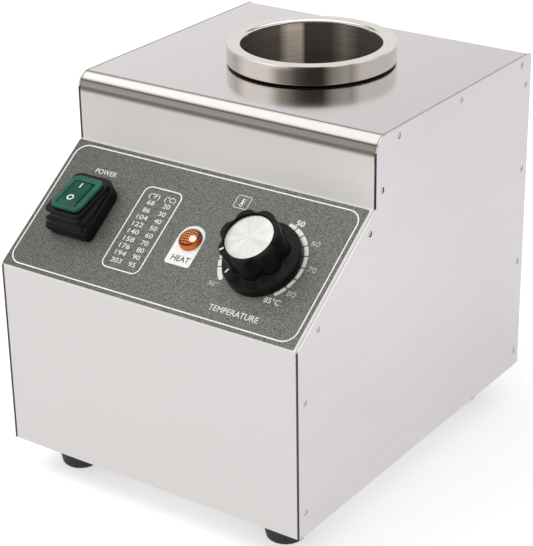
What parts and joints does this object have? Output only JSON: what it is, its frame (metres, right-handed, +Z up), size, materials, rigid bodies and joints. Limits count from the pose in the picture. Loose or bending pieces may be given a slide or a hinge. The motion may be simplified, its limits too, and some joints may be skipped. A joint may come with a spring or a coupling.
{
  "type": "hot fudge topping warmer",
  "caption": "Countertop warmer for one bottle of topping: steel casing on rubber feet, round heated well with a thick collar, sloping front with rocker switch, lamp and heat knob.",
  "frame": {"origin": "middle of the whole thing's box, on the plane the feet stand on", "axes": "+Z up, -Y out of the front, +X towards the heat knob"},
  "size_m": [0.18, 0.2368, 0.211],
  "materials": {
    "steel_sheet": "brushed",
    "steel_pan": "brushed",
    "steel_turned": "polished",
    "steel_screws": "satin",
    "spring_steel": "satin",
    "black_rubber": "matte",
    "label_film": "printed, fine grain",
    "heater_metal": "heat stained",
    "fibre": "woven",
    "black_plastic": "moulded",
    "grey_plastic": "moulded",
    "copper_bulb": "drawn",
    "cap_aluminium": "spun",
    "green_plastic": "gloss",
    "amber_lens": "faceted, clear",
    "earth_brass": "satin",
    "wire_cover": "smooth"
  },
  "bodies": {
    "root": {"wrap_shell": "steel_sheet", "side_panel_left": "steel_sheet", "side_panel_right": "steel_sheet", "back_panel": "steel_sheet", "base_pan": "steel_pan", "well_cup": "steel_turned", "collar_ring": "steel_turned", "back_screw_1": "steel_screws", "back_screw_2": "steel_screws", "back_screw_3": "steel_screws", "back_screw_4": "steel_screws", "back_screw_5": "steel_screws", "foot_screw_1": "steel_screws", "foot_screw_2": "steel_screws", "foot_screw_3": "steel_screws", "foot_screw_4": "steel_screws", "collar_nut_1": "steel_screws", "collar_nut_2": "steel_screws", "collar_nut_3": "steel_screws", "band_screw": "steel_screws", "cutout_nut": "steel_screws", "thermostat_screw_1": "steel_screws", "thermostat_screw_2": "steel_screws", "cutout_clip": "spring_steel", "bulb_clip": "spring_steel", "foot_1": "black_rubber", "foot_2": "black_rubber", "foot_3": "black_rubber", "foot_4": "black_rubber", "collar_gasket": "black_rubber", "switch_boot": "black_rubber", "control_label": "label_film", "heater_band": "heater_metal", "insulation_sleeve": "fibre", "thermal_cutout": "black_plastic", "switch_body": "black_plastic", "gland_body": "black_plastic", "gland_locknut": "black_plastic", "lamp_nut": "black_plastic", "thermostat_body": "grey_plastic", "lamp_body": "grey_plastic", "terminal_block": "grey_plastic", "sensor_bulb": "copper_bulb", "lamp_lens": "amber_lens", "earth_stud": "earth_brass", "live_lead": "wire_cover", "switch_lead": "wire_cover", "cutout_lead": "wire_cover", "heater_lead": "wire_cover", "neutral_lead": "wire_cover", "earth_lead": "wire_cover", "lamp_lead_1": "wire_cover", "lamp_lead_2": "wire_cover"},
    "knob": {"knob_body": "black_plastic", "knob_cap": "cap_aluminium", "knob_grub_screw": "steel_screws", "thermostat_shaft": "steel_screws"},
    "rocker": {"switch_rocker": "green_plastic"}
  },
  "joints": [
    {"name": "knob_turn", "type": "hinge", "parent": "root", "child": "knob", "pos_m": [0.0493, -0.08582, 0.14109], "axis": [0, 0.5764, -0.8171], "range_deg": [0, 266]},
    {"name": "rocker_tilt", "type": "hinge", "parent": "root", "child": "rocker", "pos_m": [-0.05915, -0.08915, 0.14424], "axis": [1, 0, 0], "range_deg": [0, 29], "deforming": ["switch_boot"]}
  ]
}
